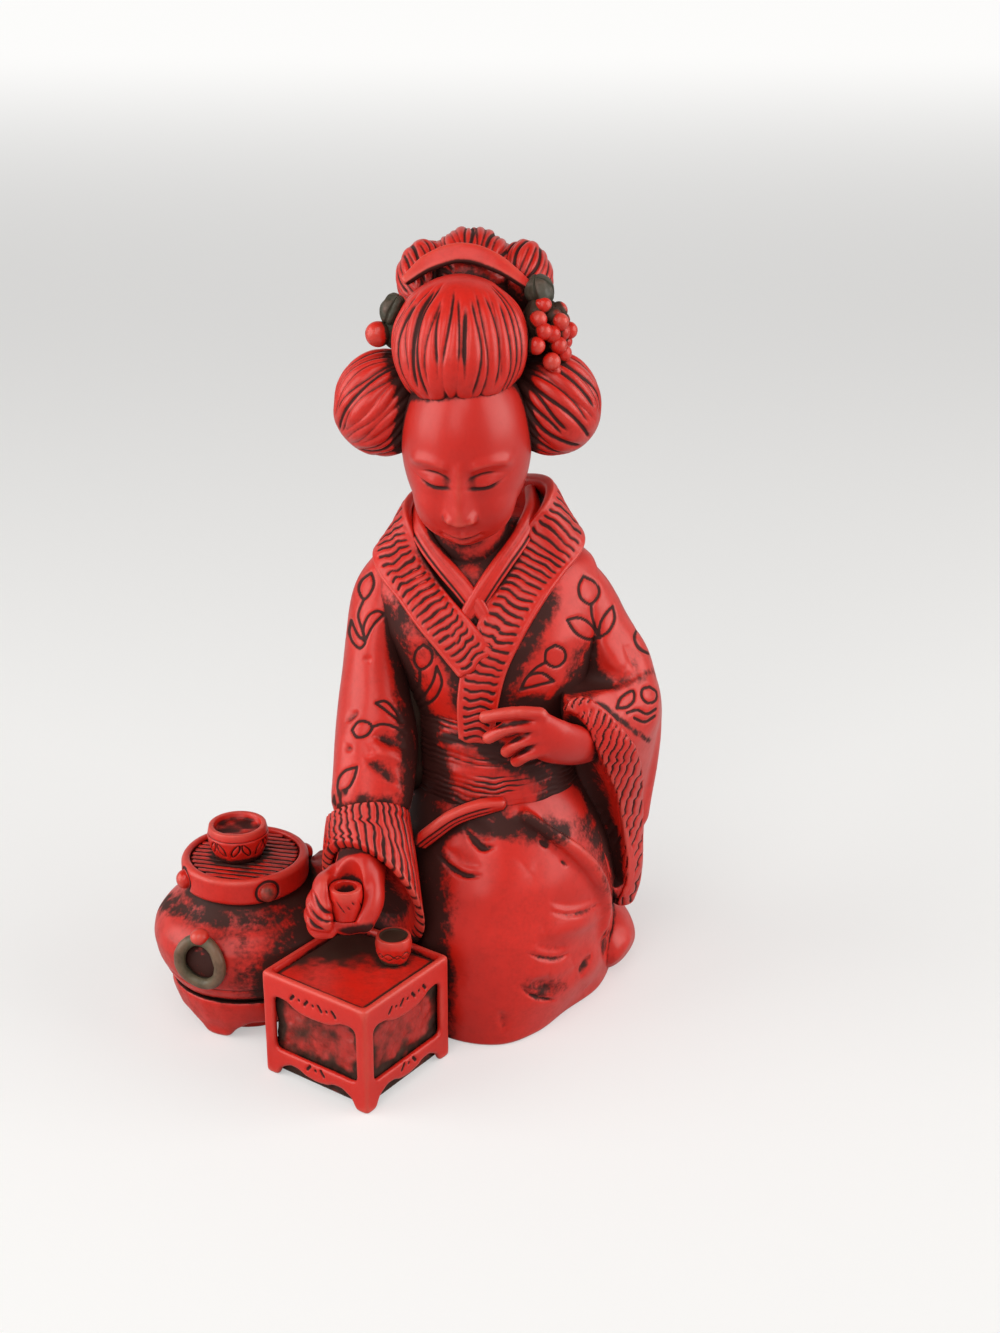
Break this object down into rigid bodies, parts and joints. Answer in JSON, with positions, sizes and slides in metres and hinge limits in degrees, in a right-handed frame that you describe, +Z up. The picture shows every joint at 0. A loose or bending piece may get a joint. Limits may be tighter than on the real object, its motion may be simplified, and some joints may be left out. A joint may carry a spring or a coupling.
{
  "type": "kneeling tea hostess figurine",
  "caption": "Cast red resin figurine of a kneeling woman in a kimono holding a tea cup beside a round charcoal brazier and a low square tea table.",
  "frame": {"origin": "on the resting plane under the kneeling woman's lap, the middle of her skirt's underside", "axes": "+Z up, she faces -Y, +X towards her left arm; the brazier and the table stand on the -X side"},
  "size_m": [0.1314, 0.1118, 0.1985],
  "materials": {
    "red": "glossy",
    "deep_red": "glossy",
    "patina": "satin"
  },
  "bodies": {
    "root": {"comb": "red", "berries_right": "red", "berry_left": "red", "head": "red", "hair_front": "red", "hair_wing_left": "red", "hair_wing_right": "red", "bun_lobe_left": "red", "bun_lobe_right": "red", "hair_bun": "red", "hair_back": "red", "neck": "red", "collar_left": "red", "collar_right": "red", "held_cup": "red", "hand_right": "red", "hand_left": "red", "cuff_right": "red", "cuff_left": "red", "sleeve_right": "red", "sleeve_left": "red", "obi_tie": "red", "obi_knot": "red", "obi": "red", "torso": "red", "skirt_fold": "red", "skirt": "red", "feet": "red", "grate_cup": "red", "stud_0": "red", "stud_1": "red", "stud_2": "red", "stud_3": "red", "brazier_band": "red", "brazier_pot": "red", "brazier_stand": "red", "table_cup": "red", "table_frame": "red", "inner_collar_left": "deep_red", "inner_collar_right": "deep_red", "table_tray": "deep_red", "leaf_left": "patina", "leaf_right": "patina", "brazier_grate": "patina", "ring_handle_0": "patina", "ring_handle_1": "patina", "base_web": "patina", "table_core": "patina"}
  },
  "joints": []
}
